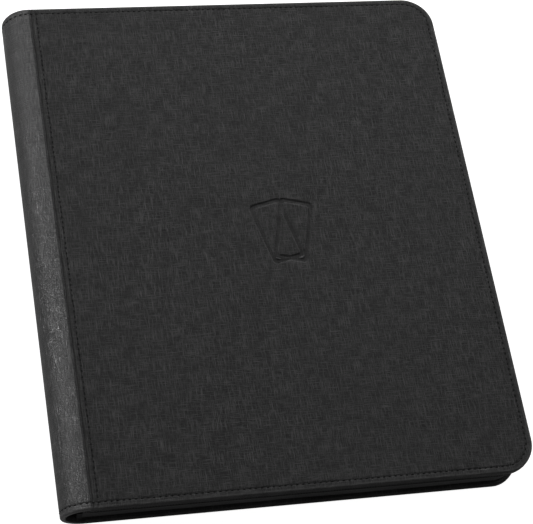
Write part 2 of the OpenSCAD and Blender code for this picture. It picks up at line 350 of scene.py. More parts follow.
def cover_skin(name, lo, hi, radius, material, emblem, facing, cover, stitch):
    """The leather of one cover as a closed skin: padded face, folded edge, wall and turn-in."""
    x_spans = [(lo.x, lo.x + SEAM_SPAN, SEAM_STEP)]
    y_spans = []
    if emblem:
        x_spans.append((EMBLEM_AT.x - EMBLEM_REACH_X, EMBLEM_AT.x + EMBLEM_REACH_X, EMBLEM_STEP))
        y_spans.append((EMBLEM_AT.y - EMBLEM_REACH_Y, EMBLEM_AT.y + EMBLEM_REACH_Y, EMBLEM_STEP))
    xs = graded(lo.x, hi.x - radius, COARSE, x_spans)
    ys = graded(lo.y + radius, hi.y - radius, COARSE, y_spans)
    base, normals = open_outline(lo, hi, radius, xs, ys, CORNER_STEPS)
    wall = cover.wall
    under, fold = wall + FOLD_GAP, wall + FOLD_GAP + FOLD_T
    rings = [
        (INNER_WALL, SKIN),
        (INNER_WALL, under),
        (cover.turn_in, under),
        (cover.turn_in, fold - 0.1 * MM),
        (cover.turn_in - 0.15 * MM, fold),
        (0.9 * MM, fold),
        (0.4 * MM, fold - 0.14 * MM),
        (0.1 * MM, fold - 0.5 * MM),
        (0.0, fold - 1.1 * MM),
        (0.0, (fold + cover.edge_round) / 2 + 0.2 * MM),
    ]
    first_face = len(rings)
    outer = np.array(EDGE_ROWS) * MM
    rings += list(zip(outer, edge_drop(outer, cover, stitch)))
    count = len(base)
    plan = np.concatenate([base - normals * inset for inset, _ in rings])
    drop = np.repeat([d for _, d in rings], count)
    inset = np.repeat([i for i, _ in rings], count)
    on_face = np.repeat(np.arange(len(rings)) >= first_face, count)
    seam = seam_drop(plan[:, 0] - lo.x - LAND, cover, stitch)
    drop = np.where(on_face, joined_drops(drop, seam), drop)

    # The field inside the rings
    ring = plan[-count:]
    half = len(xs) - 1 + CORNER_STEPS // 2
    bottom, right, top = ring[: half + 1], ring[half : count - half], ring[::-1][: half + 1]
    rise = (right[:, 1] - right[0, 1]) / (right[-1, 1] - right[0, 1])
    left = np.stack([np.full(len(rise), lo.x), bottom[0, 1] + rise * (top[0, 1] - bottom[0, 1])], 1)
    patch = coons(bottom, right, top, left)
    rows, columns = patch.shape[:2]
    inner = patch[1:-1, :-1].reshape(-1, 2)
    inner_inset = inset_from_edge(inner[:, 0], inner[:, 1], lo, hi, radius)
    inner_drop = joined_drops(
        edge_drop(inner_inset, cover, stitch), seam_drop(inner[:, 0] - lo.x - LAND, cover, stitch)
    )
    press = emblem_mask(inner[:, 0], inner[:, 1]) if emblem else np.zeros(len(inner))
    plan = np.concatenate([plan, inner])
    drop = np.concatenate([drop, inner_drop + press * cover.press])
    inset = np.concatenate([inset, inner_inset])
    on_face = np.concatenate([on_face, np.ones(len(inner), bool)])
    press = np.concatenate([np.zeros(count * len(rings)), press])
    fade = np.clip((inset - 6 * MM) / (12 * MM), 0, 1)
    fade = fade * np.clip((plan[:, 0] - lo.x - 5 * MM) / (10 * MM), 0, 1)
    drop = drop + np.where(on_face, waviness(plan, cover, facing * 7.3 + 1.1) * fade, 0)

    # Indices of the patch: its rim is the last ring, its left column and inside are new
    last = (len(rings) - 1) * count
    index = np.empty((rows, columns), int)
    index[0] = last + np.arange(columns)
    index[-1] = last + count - 1 - np.arange(columns)
    index[:, -1] = last + half + np.arange(rows)
    new_points = np.arange((rows - 2) * (columns - 1)).reshape(rows - 2, columns - 1)
    index[1:-1, :-1] = len(rings) * count + new_points
    faces = grid_faces(len(rings), count)
    quads = np.stack([index[:-1, :-1], index[:-1, 1:], index[1:, 1:], index[1:, :-1]], -1).reshape(-1, 4)
    faces += quads.tolist()
    # The face towards the foam, and the end face at the spine
    faces.append(list(range(count))[::-1])
    starts = [k * count for k in range(len(rings))]
    ends = [k * count + count - 1 for k in range(len(rings))]
    faces.append(starts + list(index[1:-1, 0]) + ends[::-1])
    z = THICK - drop if facing > 0 else drop
    if facing < 0:
        faces = [f[::-1] for f in faces]
    points = np.column_stack([plan, z])
    # Edge field: the paler line inside the open edges (rubbed wear and painted highlight), and a painted
    # highlight line along the hinge crease
    edge = rub_and_highlight_mask(inset) * on_face
    crease_highlight = np.exp(-(((plan[:, 0] - lo.x - LAND) / CREASE_HIGHLIGHT_HALF) ** 2)) * on_face
    fields = {"place": points, "edge": np.maximum(edge, CREASE_HIGHLIGHT_SHARE * crease_highlight), "press": press}
    return new_piece(name, points, faces, material, fields)


# Closed loop of the spine leather in mm: distance in from the end, and depth from the outside
SPINE_FOLD = ((8.0, 3.1), (1.2, 3.1), (1.2, 0.9))
SPINE_LIP = ((8.0, 3.32), (0.6, 3.34), (0.2, 3.2), (0.0, 2.8), (0.0, 2.2))
STRIP_STEP = math.radians(1.0)
SPINE_COARSE = 5 * MM


def spine_rows(cover, stitch, coarse):
    """(y, depth, on the outside, inset) round the closed loop of the spine's leather."""
    lo, hi = SPINE_LO.y, SPINE_HI.y
    end_rows = [(i * MM, d * MM, False) for i, d in SPINE_LIP]
    end_rows += [(i * MM, float(edge_drop(np.array(i * MM), cover, stitch)), True) for i in EDGE_ROWS]
    rows = [(lo + i, d, out, i) for i, d, out in end_rows]
    middle = graded(lo + EDGE_ROWS[-1] * MM, hi - EDGE_ROWS[-1] * MM, coarse)[1:-1]
    for y in middle:
        inset = min(y - lo, hi - y)
        rows.append((y, float(edge_drop(np.array(inset), cover, stitch)), True, inset))
    rows += [(hi - i, d, out, i) for i, d, out in end_rows[::-1]]
    rows += [(hi - i * MM, d * MM, False, i * MM) for i, d in SPINE_FOLD]
    rows += [(lo + i * MM, d * MM, False, i * MM) for i, d in SPINE_FOLD[::-1]]
    return rows


SPINE_TAPER = 2.5 * MM


def tapered(angle, y):
    """The spine is a little shorter beside the back cover, which is the smaller one."""
    share = min(max(1 - angle / math.pi, 0), 1)
    return y * (1 - SPINE_TAPER * share * share * (3 - 2 * share) / SPINE_HI.y)


def spine_point(angle, radius, y):
    """A point on the round spine; angle 0 is its lowest line."""
    return (SEAM_X - radius * math.sin(angle), y, MID_Z - radius * math.cos(angle))


def swept_strip(name, rows, first, last, step, material, depth_at, seed):
    """A closed loop of rows (y, depth, outside, inset) swept about the spine from one angle to another."""
    steps = max(1, round((last - first) / step))
    points, place, edge = [], [], []
    for k in range(steps + 1):
        angle = first + (last - first) * k / steps
        arc_x = SEAM_X - MID_Z * angle
        for y, depth, outside, inset in rows:
            sunk = depth_at(angle, y, depth, outside, inset)
            points.append(spine_point(angle, MID_Z - sunk, tapered(angle, y)))
            place.append((arc_x, y, seed + (0 if outside else sunk)))
            # Paler line inside the spine's ends: rubbed wear and a painted highlight
            edge.append(float(rub_and_highlight_mask(inset)) if outside else 0)
    faces = tube_faces(steps + 1, len(rows))
    fields = {"place": place, "edge": edge, "press": [0.0] * len(points)}
    return new_piece(name, points, faces, material, fields)


def bend_with_spine(piece, k):
    """Strips at the two ends ride on the first and last stave; the strips between are fixed in place and
    follow no stave.
    """
    if k in (0, len(STAVES)):
        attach(piece, f"spine_{max(k, 1)}")
        return
    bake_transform(piece)


def seam_on_spine(angle, cover, stitch):
    """The hinge groove's far side, which reaches round onto the spine."""
    away = MID_Z * min(angle, math.pi - angle)
    return float(seam_drop(np.array(-LAND - away), cover, stitch))


# --- Shader node groups ---


def add(tree, kind, props=None, **inputs):
    """A new node; each input is a value or another node's output."""
    made = tree.nodes.new(kind)
    for key, value in (props or {}).items():
        setattr(made, key, value)
    for key, value in inputs.items():
        socket = made.inputs[key.replace("_", " ")]
        if isinstance(value, bpy.types.NodeSocket):
            tree.links.new(value, socket)
        else:
            socket.default_value = value
    return made


def calc(tree, operation, *values, clamp=False):
    made = tree.nodes.new("ShaderNodeMath")
    made.operation = operation
    made.use_clamp = clamp
    for socket, value in zip(made.inputs, values):
        if isinstance(value, bpy.types.NodeSocket):
            tree.links.new(value, socket)
        else:
            socket.default_value = value
    return made.outputs[0]


def times(tree, a, b, clamp=False):
    return calc(tree, "MULTIPLY", a, b, clamp=clamp)


def plus(tree, a, b):
    return calc(tree, "ADD", a, b)


def remap(tree, value, a, b, c, d):
    """The value carried from the range a to b onto the range c to d, and held there."""
    span = {"From_Min": a, "From_Max": b, "To_Min": c, "To_Max": d}
    return add(tree, "ShaderNodeMapRange", {"clamp": True}, Value=value, **span).outputs[0]


def stretch(tree, vector, x, y=None, z=None):
    """The vector divided by a feature size, which may differ along each axis."""
    made = tree.nodes.new("ShaderNodeVectorMath")
    made.operation = "MULTIPLY"
    tree.links.new(vector, made.inputs[0])
    made.inputs[1].default_value = (1 / x, 1 / (y or x), 1 / (z or x))
    return made.outputs[0]


def blend_colour(tree, factor, a, b):
    made = tree.nodes.new("ShaderNodeMix")
    made.data_type = "RGBA"
    for index, value in ((0, factor), (6, a), (7, b)):
        if isinstance(value, bpy.types.NodeSocket):
            tree.links.new(value, made.inputs[index])
        else:
            made.inputs[index].default_value = value if index == 0 else (*value, 1)
    return made.outputs[2]


def new_group(name, inputs, outputs):
    group = bpy.data.node_groups.new(name, "ShaderNodeTree")
    for label, kind in inputs:
        group.interface.new_socket(label, in_out="INPUT", socket_type=kind)
    for label in outputs:
        group.interface.new_socket(label, in_out="OUTPUT", socket_type="NodeSocketFloat")
    return group, group.nodes.new("NodeGroupInput").outputs, group.nodes.new("NodeGroupOutput").inputs


def speckle(tree, vector, detail=2.0, roughness=0.55):
    values = {"Scale": 1.0, "Detail": detail, "Roughness": roughness}
    return add(tree, "ShaderNodeTexNoise", None, Vector=vector, **values).outputs[0]


# Length, width and share of the two sizes of stroke in the grain
STROKES = ((10 * MM, 0.56 * MM, 0.62), (3.6 * MM, 0.4 * MM, 0.38))


def make_grain(name):
    """Short crossing strokes, as on linen-pressed imitation leather."""
    group, given, result = new_group(name, [("Vector", "NodeSocketVector")], ["Height", "Tone"])
    strokes = None
    for long, wide, share in STROKES:
        across = speckle(group, stretch(group, given[0], long, wide, wide))
        along = speckle(group, stretch(group, given[0], wide, long, wide))
        across = remap(group, across, 0.48, 0.72, 0, 1)
        along = remap(group, along, 0.46, 0.7, 0, 1)
        crossed = calc(group, "MAXIMUM", across, along)
        part = times(group, crossed, share)
        strokes = plus(group, strokes, part) if strokes else part
    pores = speckle(group, stretch(group, given[0], 0.22 * MM), 3.0)
    height = plus(group, times(group, strokes, 0.75), times(group, pores, 0.25))
    group.links.new(height, result[0])
    patches = speckle(group, stretch(group, given[0], 7 * MM), 3.0)
    group.links.new(times(group, strokes, remap(group, patches, 0.3, 0.7, 0.5, 1)), result[1])
    return group


def make_weave(name):
    """Plain weave: raised warp and weft threads that pass over and under each other."""
    group, given, result = new_group(
        name, [("Vector", "NodeSocketVector"), ("Thread", "NodeSocketFloat")], ["Height", "Tone"]
    )
    parts = add(group, "ShaderNodeSeparateXYZ", None, Vector=given[0]).outputs
    u = calc(group, "DIVIDE", parts[0], given[1])
    v = calc(group, "DIVIDE", parts[1], given[1])
    warp = calc(group, "ABSOLUTE", calc(group, "SINE", times(group, u, math.pi)))
    weft = calc(group, "ABSOLUTE", calc(group, "SINE", times(group, v, math.pi)))
    over = calc(group, "PINGPONG", plus(group, calc(group, "FLOOR", u), calc(group, "FLOOR", v)), 1.0)
    a = times(group, times(group, warp, over), remap(group, weft, 0, 1, 0.5, 1))
    under = calc(group, "SUBTRACT", 1.0, over)
    b = times(group, times(group, weft, under), remap(group, warp, 0, 1, 0.5, 1))
    group.links.new(plus(group, a, b), result[0])
    group.links.new(speckle(group, stretch(group, given[0], 1.1 * MM), 3.0), result[1])
    return group


def make_wear_and_highlight(name):
    """Patches along an edge mask, broken up by noise: rubbed wear and painted highlight."""
    group, given, result = new_group(
        name, [("Edge", "NodeSocketFloat"), ("Vector", "NodeSocketVector")], ["Mask"]
    )
    rough = speckle(group, stretch(group, given[1], 5 * MM), 6.0, 0.7)
    fine = speckle(group, stretch(group, given[1], 0.7 * MM), 3.0)
    broken = remap(group, times(group, rough, plus(group, fine, 0.5)), 0.3, 0.75, 0.25, 1)
    group.links.new(times(group, given[0], broken), result[0])
    return group


def make_dust(name):
    """Sparse specks of lint."""
    group, given, result = new_group(name, [("Vector", "NodeSocketVector")], ["Mask"])
    spread = stretch(group, given[0], 3 * MM)
    cell = add(group, "ShaderNodeTexVoronoi", None, Vector=spread, Scale=1.0)
    near = remap(group, cell.outputs["Distance"], 0.03, 0.07, 1, 0)
    tint = add(group, "ShaderNodeSeparateColor", None, Color=cell.outputs["Color"]).outputs[0]
    group.links.new(times(group, near, remap(group, tint, 0.82, 0.9, 0, 1)), result[0])
    return group


def make_mottle(name):
    """Slow drift in tone over the piece."""
    group, given, result = new_group(name, [("Vector", "NodeSocketVector")], ["Value"])
    wide = speckle(group, stretch(group, given[0], 60 * MM), 3.0)
    small = speckle(group, stretch(group, given[0], 9 * MM), 4.0)
    both = plus(group, times(group, wide, 0.6), times(group, small, 0.4))
    group.links.new(remap(group, both, 0.35, 0.65, 0, 1), result[0])
    return group


GROUPS = {
    "Crosshatch grain": make_grain,
    "Woven cloth": make_weave,
    "Edge wear": make_wear_and_highlight,
    "Lint": make_dust,
    "Mottle": make_mottle,
}


def use_group(tree, name, **inputs):
    found = bpy.data.node_groups.get(name) or GROUPS[name](name)
    made = tree.nodes.new("ShaderNodeGroup")
    made.node_tree = found
    for key, value in inputs.items():
        if isinstance(value, bpy.types.NodeSocket):
            tree.links.new(value, made.inputs[key])
        else:
            made.inputs[key].default_value = value
    return made.outputs


# --- Materials ---


def surface(name, marked):
    """A material with a Principled shader; marked pieces carry their own texture places."""
    made = bpy.data.materials.new(name)
    made.use_nodes = True
    tree = made.node_tree
    tree.nodes.clear()
    shader = tree.nodes.new("ShaderNodeBsdfPrincipled")
    end = tree.nodes.new("ShaderNodeOutputMaterial")
    tree.links.new(shader.outputs[0], end.inputs[0])
    if marked:
        where = add(tree, "ShaderNodeAttribute", {"attribute_name": "place"}).outputs["Vector"]
    else:
        where = tree.nodes.new("ShaderNodeTexCoord").outputs["Object"]
    return made, tree, shader, where


def mark(tree, name):
    return add(tree, "ShaderNodeAttribute", {"attribute_name": name}).outputs["Fac"]


def finish_surface(tree, shader, colour, roughness, height, depth, strength=1.0):
    tree.links.new(colour, shader.inputs["Base Color"])
    tree.links.new(roughness, shader.inputs["Roughness"])
    bump = add(tree, "ShaderNodeBump", None, Height=height, Distance=depth, Strength=strength)
    tree.links.new(bump.outputs[0], shader.inputs["Normal"])


def leather(name, dark, light, rough, depth, level, contrast):
    """Imitation leather: pressed grain, edges rubbed paler with a painted highlight on them, glossier and
    darker where it is debossed.
    """
    made, tree, shader, where = surface(name, True)
    grain = use_group(tree, "Crosshatch grain", Vector=where)
    drift = use_group(tree, "Mottle", Vector=where)[0]
    press = mark(tree, "press")
    overlay = use_group(tree, "Edge wear", Edge=mark(tree, "edge"), Vector=where)[0]
    lint = use_group(tree, "Lint", Vector=where)[0]
    colour = blend_colour(tree, times(tree, grain[1], contrast, clamp=True), dark, light)
    colour = blend_colour(tree, times(tree, drift, 0.25), colour, tuple(1.4 * c for c in light))
    colour = blend_colour(tree, times(tree, press, 0.75), colour, tuple(0.45 * c for c in dark))
    # Paler colour along the edge mask: rubbed wear, and a painted highlight on the folded edges and the hinge
    # crease
    colour = blend_colour(tree, times(tree, overlay, 0.7), colour, (0.075, 0.074, 0.074))
    colour = blend_colour(tree, times(tree, lint, 0.35), colour, (0.16, 0.155, 0.15))
    shine = remap(tree, grain[1], 0, 1, rough + 0.08, rough - 0.06)
    shine = calc(tree, "SUBTRACT", shine, times(tree, press, 0.2))
    shine = plus(tree, shine, remap(tree, drift, 0, 1, -0.04, 0.05))
    height = times(tree, grain[0], remap(tree, press, 0, 1, 1, 0.25))
    sheen = remap(tree, grain[1], 0, 0.8, 0.6 * level, 1.5 * level)
    tree.links.new(sheen, shader.inputs["Specular IOR Level"])
    finish_surface(tree, shader, colour, shine, height, depth)
    return made


def cloth(name, marked, dark, light, thread, rough, depth, sheen):
    """Plain-woven cloth of a given thread width, with lint."""
    made, tree, shader, where = surface(name, marked)
    weave = use_group(tree, "Woven cloth", Vector=where, Thread=thread)
    drift = use_group(tree, "Mottle", Vector=where)[0]
    lint = use_group(tree, "Lint", Vector=where)[0]
    colour = blend_colour(tree, weave[0], dark, light)
    colour = blend_colour(tree, times(tree, drift, 0.4), colour, tuple(1.6 * c for c in light))
    colour = blend_colour(tree, times(tree, lint, 0.5), colour, (0.12, 0.12, 0.115))
    shader.inputs["Sheen Weight"].default_value = sheen
    shader.inputs["Sheen Roughness"].default_value = 0.4
    shader.inputs["Specular IOR Level"].default_value = 0.25
    height = plus(tree, weave[0], times(tree, weave[1], 0.4))
    shine = remap(tree, weave[1], 0.3, 0.7, rough - 0.08, rough + 0.08)
    finish_surface(tree, shader, colour, shine, height, depth)
    return made


def sewing_thread(name):
    """Twisted plies along each stitch."""
    made, tree, shader, where = surface(name, True)
    parts = add(tree, "ShaderNodeSeparateXYZ", None, Vector=where).outputs
    turns = times(tree, parts[0], 2.6 / MM)
    turns = plus(tree, turns, times(tree, parts[1], 3.2 / MM))
    ply = remap(tree, calc(tree, "SINE", times(tree, turns, 2.0)), -1, 1, 0, 1)
    fuzz = speckle(tree, stretch(tree, where, 0.15 * MM), 3.0)
    colour = blend_colour(tree, ply, (0.0012, 0.0012, 0.0012), (0.005, 0.005, 0.0052))
    shader.inputs["Specular IOR Level"].default_value = 0.18
    height = plus(tree, ply, times(tree, fuzz, 0.3))
    finish_surface(tree, shader, colour, remap(tree, fuzz, 0.3, 0.7, 0.55, 0.75), height, 0.08 * MM)
    return made


def cast(name, marked, dark, light, rough, depth, overlay, size, metallic=0.0):
    """Moulded, painted or pressed stuff: fine cast texture, scuffs and a few bright rubs."""
    made, tree, shader, where = surface(name, marked)
    fine = speckle(tree, stretch(tree, where, size), 4.0, 0.6)
    scratch = speckle(tree, stretch(tree, where, 6 * size, 0.5 * size, 0.5 * size), 4.0, 0.7)
    scuffs = remap(tree, scratch, 0.6, 0.72, 0, 1)
    drift = use_group(tree, "Mottle", Vector=where)[0]
    lint = use_group(tree, "Lint", Vector=where)[0]
    colour = blend_colour(tree, remap(tree, fine, 0.35, 0.65, 0, 1), dark, light)
    colour = blend_colour(tree, times(tree, scuffs, 0.5), colour, overlay)
    colour = blend_colour(tree, times(tree, drift, 0.3), colour, tuple(0.6 * c for c in dark))
    colour = blend_colour(tree, times(tree, lint, 0.3), colour, (0.2, 0.2, 0.19))
    shader.inputs["Metallic"].default_value = metallic
    shine = remap(tree, fine, 0.3, 0.7, rough - 0.08, rough + 0.08)
    shine = plus(tree, shine, times(tree, scuffs, 0.12))
    finish_surface(tree, shader, colour, shine, fine, depth)
    return made


def page_film(name):
    """Clear pockets over a black core: glossy film, with matt welded lines and a card-thumb haze."""
    made, tree, shader, where = surface(name, True)
    weld = mark(tree, "weld")
    ripple = speckle(tree, stretch(tree, where, 38 * MM, 55 * MM, 1), 1.0, 0.3)
    haze = speckle(tree, stretch(tree, where, 14 * MM, 14 * MM, 1), 3.0, 0.55)
    knurl = use_group(tree, "Woven cloth", Vector=where, Thread=0.7 * MM)
    colour = blend_colour(tree, weld, (0.012, 0.0125, 0.0135), (0.03, 0.031, 0.033))
    colour = blend_colour(tree, remap(tree, haze, 0.45, 0.8, 0, 0.5), colour, (0.035, 0.036, 0.04))
    shine = plus(tree, remap(tree, haze, 0.3, 0.7, 0.24, 0.32), times(tree, weld, 0.25))
    shader.inputs["Coat Weight"].default_value = 0.15
    shader.inputs["Coat Roughness"].default_value = 0.2
    height = plus(tree, times(tree, times(tree, knurl[0], weld), 0.12), ripple)
    finish_surface(tree, shader, colour, shine, height, 0.35 * MM)
    return made


LINING = ((0.006, 0.006, 0.0065), (0.02, 0.02, 0.021), 0.45 * MM, 0.8, 0.12 * MM, 0.2)
FOAM = ((0.035, 0.035, 0.037), (0.075, 0.075, 0.078), 0.92)
FOAM_SCUFF = (0.03, 0.03, 0.03)
# The maker of each finish and its values, in the order that the maker takes them
MATERIALS = {
    "Cover leather": (leather, (0.0042, 0.0042, 0.0043), (0.024, 0.024, 0.0242), 0.5, 0.26 * MM, 0.3, 1.7),
    "Spine leather": (leather, (0.006, 0.006, 0.0062), (0.022, 0.022, 0.0223), 0.32, 0.22 * MM, 0.75, 1.4),
    "Thread": (sewing_thread,),
    "Lining cloth": (cloth, False, *LINING),
    "Spine lining cloth": (cloth, True, *LINING),
    "Binding cloth": (
        cloth, False, (0.005, 0.005, 0.005), (0.016, 0.016, 0.017), 0.6 * MM, 0.75, 0.15 * MM, 0.2
    ),
    "Zip tape": (cloth, True, (0.014, 0.014, 0.0144), (0.07, 0.07, 0.071), 0.5 * MM, 0.7, 0.12 * MM, 0.06),
    "Zip tab cloth": (
        cloth, False, (0.003, 0.003, 0.003), (0.012, 0.012, 0.013), 0.5 * MM, 0.8, 0.12 * MM, 0.1
    ),
    "Zip teeth": (
        cast, True, (0.004, 0.004, 0.004), (0.01, 0.01, 0.0105), 0.38, 0.01 * MM, (0.03, 0.03, 0.03), 0.3 * MM
    ),
    "Moulded stop": (
        cast, False, (0.006, 0.006, 0.006), (0.014, 0.014, 0.0145), 0.34, 0.02 * MM, (0.05, 0.05, 0.05),
        0.3 * MM,
    ),
    "Black enamel": (
        cast, False, (0.006, 0.006, 0.0063), (0.013, 0.013, 0.0135), 0.24, 0.015 * MM, (0.16, 0.155, 0.15),
        0.5 * MM, 0.35,
    ),
    "Greyboard": (
        cast, False, (0.17, 0.15, 0.115), (0.3, 0.265, 0.205), 0.88, 0.08 * MM, (0.1, 0.085, 0.06), 0.35 * MM
    ),
    "Foam": (cast, False, *FOAM, 0.25 * MM, FOAM_SCUFF, 0.5 * MM),
    "Spine foam": (cast, True, *FOAM, 0.2 * MM, FOAM_SCUFF, 0.5 * MM),
    "Page film": (page_film,),
}


def stuff(name):
    """The material of that name, made the first time it is asked for."""
    maker, *values = MATERIALS[name]
    return bpy.data.materials.get(name) or maker(name, *values)


# --- Covers ---


def two_covers(cover):
    """Name, box, corner radius and facing of each cover; the back one is smaller all round."""
    smaller = FRONT_HI.x - BACK_HI.x
    return (
        ("front", FRONT_LO, FRONT_HI, cover.corner_radius, 1),
        ("back", BACK_LO, BACK_HI, cover.corner_radius - smaller, -1),
    )


def build_covers(cover, stitch):
    for side, lo, hi, radius, facing in two_covers(cover):
        leather_stuff = stuff("Cover leather")
        has_emblem = facing > 0
        name = f"{side}_cover_skin"
        skin = cover_skin(name, lo, hi, radius, leather_stuff, has_emblem, facing, cover, stitch)
        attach(skin, f"{side}_cover")
        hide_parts(f"{side}_cover_leather")


# --- Spine ---

FOAM_STEP = math.radians(3)
STRIPS = len(STRIP_ENDS) - 1
BAND_POINTS = 24
FAR_IN = 20 * MM
# Inset from the spine's ends and depth from its outside, in mm, at the two faces of each band
FOAM_LOOP = ((1.3, 0.92), (1.3, 1.33))
LINING_LOOP = ((1.3, 2.66), (1.3, 3.04))


def plain_rows(loop):
    """Rows of a flat band round the spine, from (inset, depth) at its two faces."""
    lo, hi = SPINE_LO.y, SPINE_HI.y
    (inset, outer), (_, inner) = loop
    ys = np.linspace(lo + inset * MM, hi - inset * MM, BAND_POINTS)
    rows = [(y, outer * MM, True, FAR_IN) for y in ys]
    return rows + [(y, inner * MM, False, FAR_IN) for y in ys[::-1]]


def build_spine(cover, stitch):
    def with_grooves(angle, y, depth, outside, inset):
        if not outside:
            return depth
        return float(joined_drops(np.array(depth), np.array(seam_on_spine(angle, cover, stitch))))

    def even(angle, y, depth, outside, inset):
        return depth

    rows = spine_rows(cover, stitch, SPINE_COARSE)
    foam, lining = plain_rows(FOAM_LOOP), plain_rows(LINING_LOOP)
    for k in range(STRIPS):
        for layer, finish, loop, step, depth_at, seed in (
            ("leather", "Spine leather", rows, STRIP_STEP, with_grooves, 0.0),
            ("foam", "Spine foam", foam, FOAM_STEP, even, 1.0),
            ("lining", "Spine lining cloth", lining, FOAM_STEP, even, 2.0),
        ):
            name = f"spine_{layer}_strip_{k + 1}"
            start, end = STRIP_ENDS[k : k + 2]
            piece = swept_strip(name, loop, start, end, step, stuff(finish), depth_at, seed)
            bend_with_spine(piece, k)
            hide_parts(f"spine_{layer}")


# --- Stitching ---

STITCH_RINGS, STITCH_SIDES = 7, 8
STITCH_DIP = 0.34 * MM
STITCH_LIFT = 0.1 * MM
STITCH_SWING = 0.12 * MM
SWING_SIZE = 2.5 * MM


def stitch_row(name, spots, stitch):
    """One mesh with a rounded stitch at each (place, direction, outward normal)."""
    points, place, faces = [], [], []
    for index, (at, along, out) in enumerate(spots):
        at, along, out = Vector(at), Vector(along).normalized(), Vector(out).normalized()
        side = out.cross(along)
        swing = STITCH_SWING * noise.noise(at / SWING_SIZE)
        start = len(points)
        for i in range(STITCH_RINGS):
            u = -1 + 2 * i / (STITCH_RINGS - 1)
            radius = stitch.thread / 2 * math.sqrt(1.04 - u * u * 0.85)
            centre = at + along * (u * stitch.length / 2) + side * (swing * u)
            centre += out * (STITCH_LIFT - STITCH_DIP * u**4)
            for j in range(STITCH_SIDES):
                turn = 2 * math.pi * j / STITCH_SIDES
                points.append(centre + side * (radius * math.cos(turn)) + out * (radius * math.sin(turn)))
                place.append((u * stitch.length / 2, turn * stitch.thread / 2, index * 0.7 * MM))
        faces += [[start + v for v in f] for f in tube_faces(STITCH_RINGS, STITCH_SIDES)]
    made = new_piece(name, points, faces, stuff("Thread"), {"place": place}, crease=80)
    return made


def walk(points, normals, pitch):
    """Evenly spaced (place, direction, normal) along a flat line."""
    steps = np.hypot(*np.diff(points, axis=0).T)
    along = np.concatenate([[0], np.cumsum(steps)])
    count = int(along[-1] / pitch)
    at = (np.arange(count) + 0.5) * along[-1] / count
    x, y = (np.interp(at, along, points[:, i]) for i in (0, 1))
    nx, ny = (np.interp(at, along, normals[:, i]) for i in (0, 1))
    size = np.hypot(nx, ny)
    return x, y, nx / size, ny / size


def perimeter(lo, hi, radius, inset, step):
    """A line round the three open sides at a distance in from the edge."""
    near, far = Vector((lo.x, lo.y + inset, 0)), Vector((hi.x - inset, hi.y - inset, 0))
    r = radius - inset
    xs = np.arange(near.x, far.x - r, step)
    ys = np.arange(near.y + r, far.y - r, step)
    return open_outline(near, far, r, np.append(xs, far.x - r), np.append(ys, far.y - r), 24)


def build_stitching(cover, stitch):
    folded = cover.wall + FOLD_GAP + FOLD_T
    for side, lo, hi, radius, facing in two_covers(cover):
        x, y, nx, ny = walk(*perimeter(lo, hi, radius, stitch.inset, 1 * MM), stitch.pitch)
        drop = float(edge_drop(np.array(stitch.inset), cover, stitch))
        outer = THICK - drop if facing > 0 else drop
        inner = THICK - folded if facing > 0 else folded
        spots = [((a, b, outer), (-d, c, 0), (0, 0, facing)) for a, b, c, d in zip(x, y, nx, ny)]
        spots += [((a, b, inner), (-d, c, 0), (0, 0, -facing)) for a, b, c, d in zip(x, y, nx, ny)]
        edge_row = stitch_row(f"{side}_cover_stitches", spots, stitch)
        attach(edge_row, f"{side}_cover")
        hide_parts(f"{side}_cover_thread")
        row_x = SEAM_X + LAND + stitch.hinge_inset
        sunk = cover.channel + HINGE_DEEPER
        z = THICK - sunk if facing > 0 else sunk
        reach = hi.y - stitch.inset - stitch.pitch / 2
        count = int(2 * reach / stitch.pitch)
        ys = [-reach + 2 * reach * (i + 0.5) / count for i in range(count)]
        spots = [((row_x, b, z), (0, 1, 0), (0, 0, facing)) for b in ys]
        hinge_row = stitch_row(f"{side}_hinge_stitches", spots, stitch)
        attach(hinge_row, f"{side}_cover")
        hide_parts(f"{side}_hinge_thread")
    pitch = stitch.pitch / MID_Z
    count = round(math.pi / pitch)
    angles = [(i + 0.5) * math.pi / count for i in range(count)]
    drop = float(edge_drop(np.array(stitch.inset), cover, stitch))
    for k in range(STRIPS):
        spots = []
        for a in angles:
            if STRIP_ENDS[k] <= a < STRIP_ENDS[k + 1]:
                out = (-math.sin(a), 0, -math.cos(a))
                along = (-math.cos(a), 0, math.sin(a))
                for y in (SPINE_LO.y + stitch.inset, SPINE_HI.y - stitch.inset):
                    spots.append((spine_point(a, MID_Z - drop, tapered(a, y)), along, out))
        bend_with_spine(stitch_row(f"spine_end_stitches_{k + 1}", spots, stitch), k)


# --- Zipper ---

TAPE_RIBS = 3
TAPE_PATH_STEP = 4 * MM
TAPE_SWAY = 0.22 * MM
TOOTH_LONG = 0.72 * MM
TOOTH_HALF = 1.0 * MM
TOOTH_TIP = 0.3 * MM
CORD_R = 0.34 * MM
CORD_SIDES = 8
TAPE_THICK, TAPE_POINTS = 0.6 * MM, 36
HALF_PITCH = 0.25


def zip_line(lo, hi, radius, step):
    xs = np.append(np.arange(lo.x, hi.x - radius, step), hi.x - radius)
    ys = np.append(np.arange(lo.y + radius, hi.y - radius, step), hi.y - radius)
    return open_outline(lo, hi, radius, xs, ys, 20)


def sweep(name, line, profile, material, sway=0.0):
    """A closed profile of (outward, up) points carried along a flat line."""
    points, normals = line
    along = np.concatenate([[0], np.cumsum(np.hypot(*np.diff(points, axis=0).T))])
    made, place = [], []
    for p, n, s in zip(points, normals, along):
        shift = sway * noise.noise(Vector((s / 0.03, 0.4, 0)))
        for out, up in profile:
            made.append((p[0] + n[0] * (out + shift), p[1] + n[1] * (out + shift), up))
            place.append((s, up, out))
    faces = tube_faces(len(points), len(profile), flip=True)
    return new_piece(name, made, faces, material, {"place": place})


def mirrored(profile):
    return [(out, THICK - up) for out, up in profile][::-1]


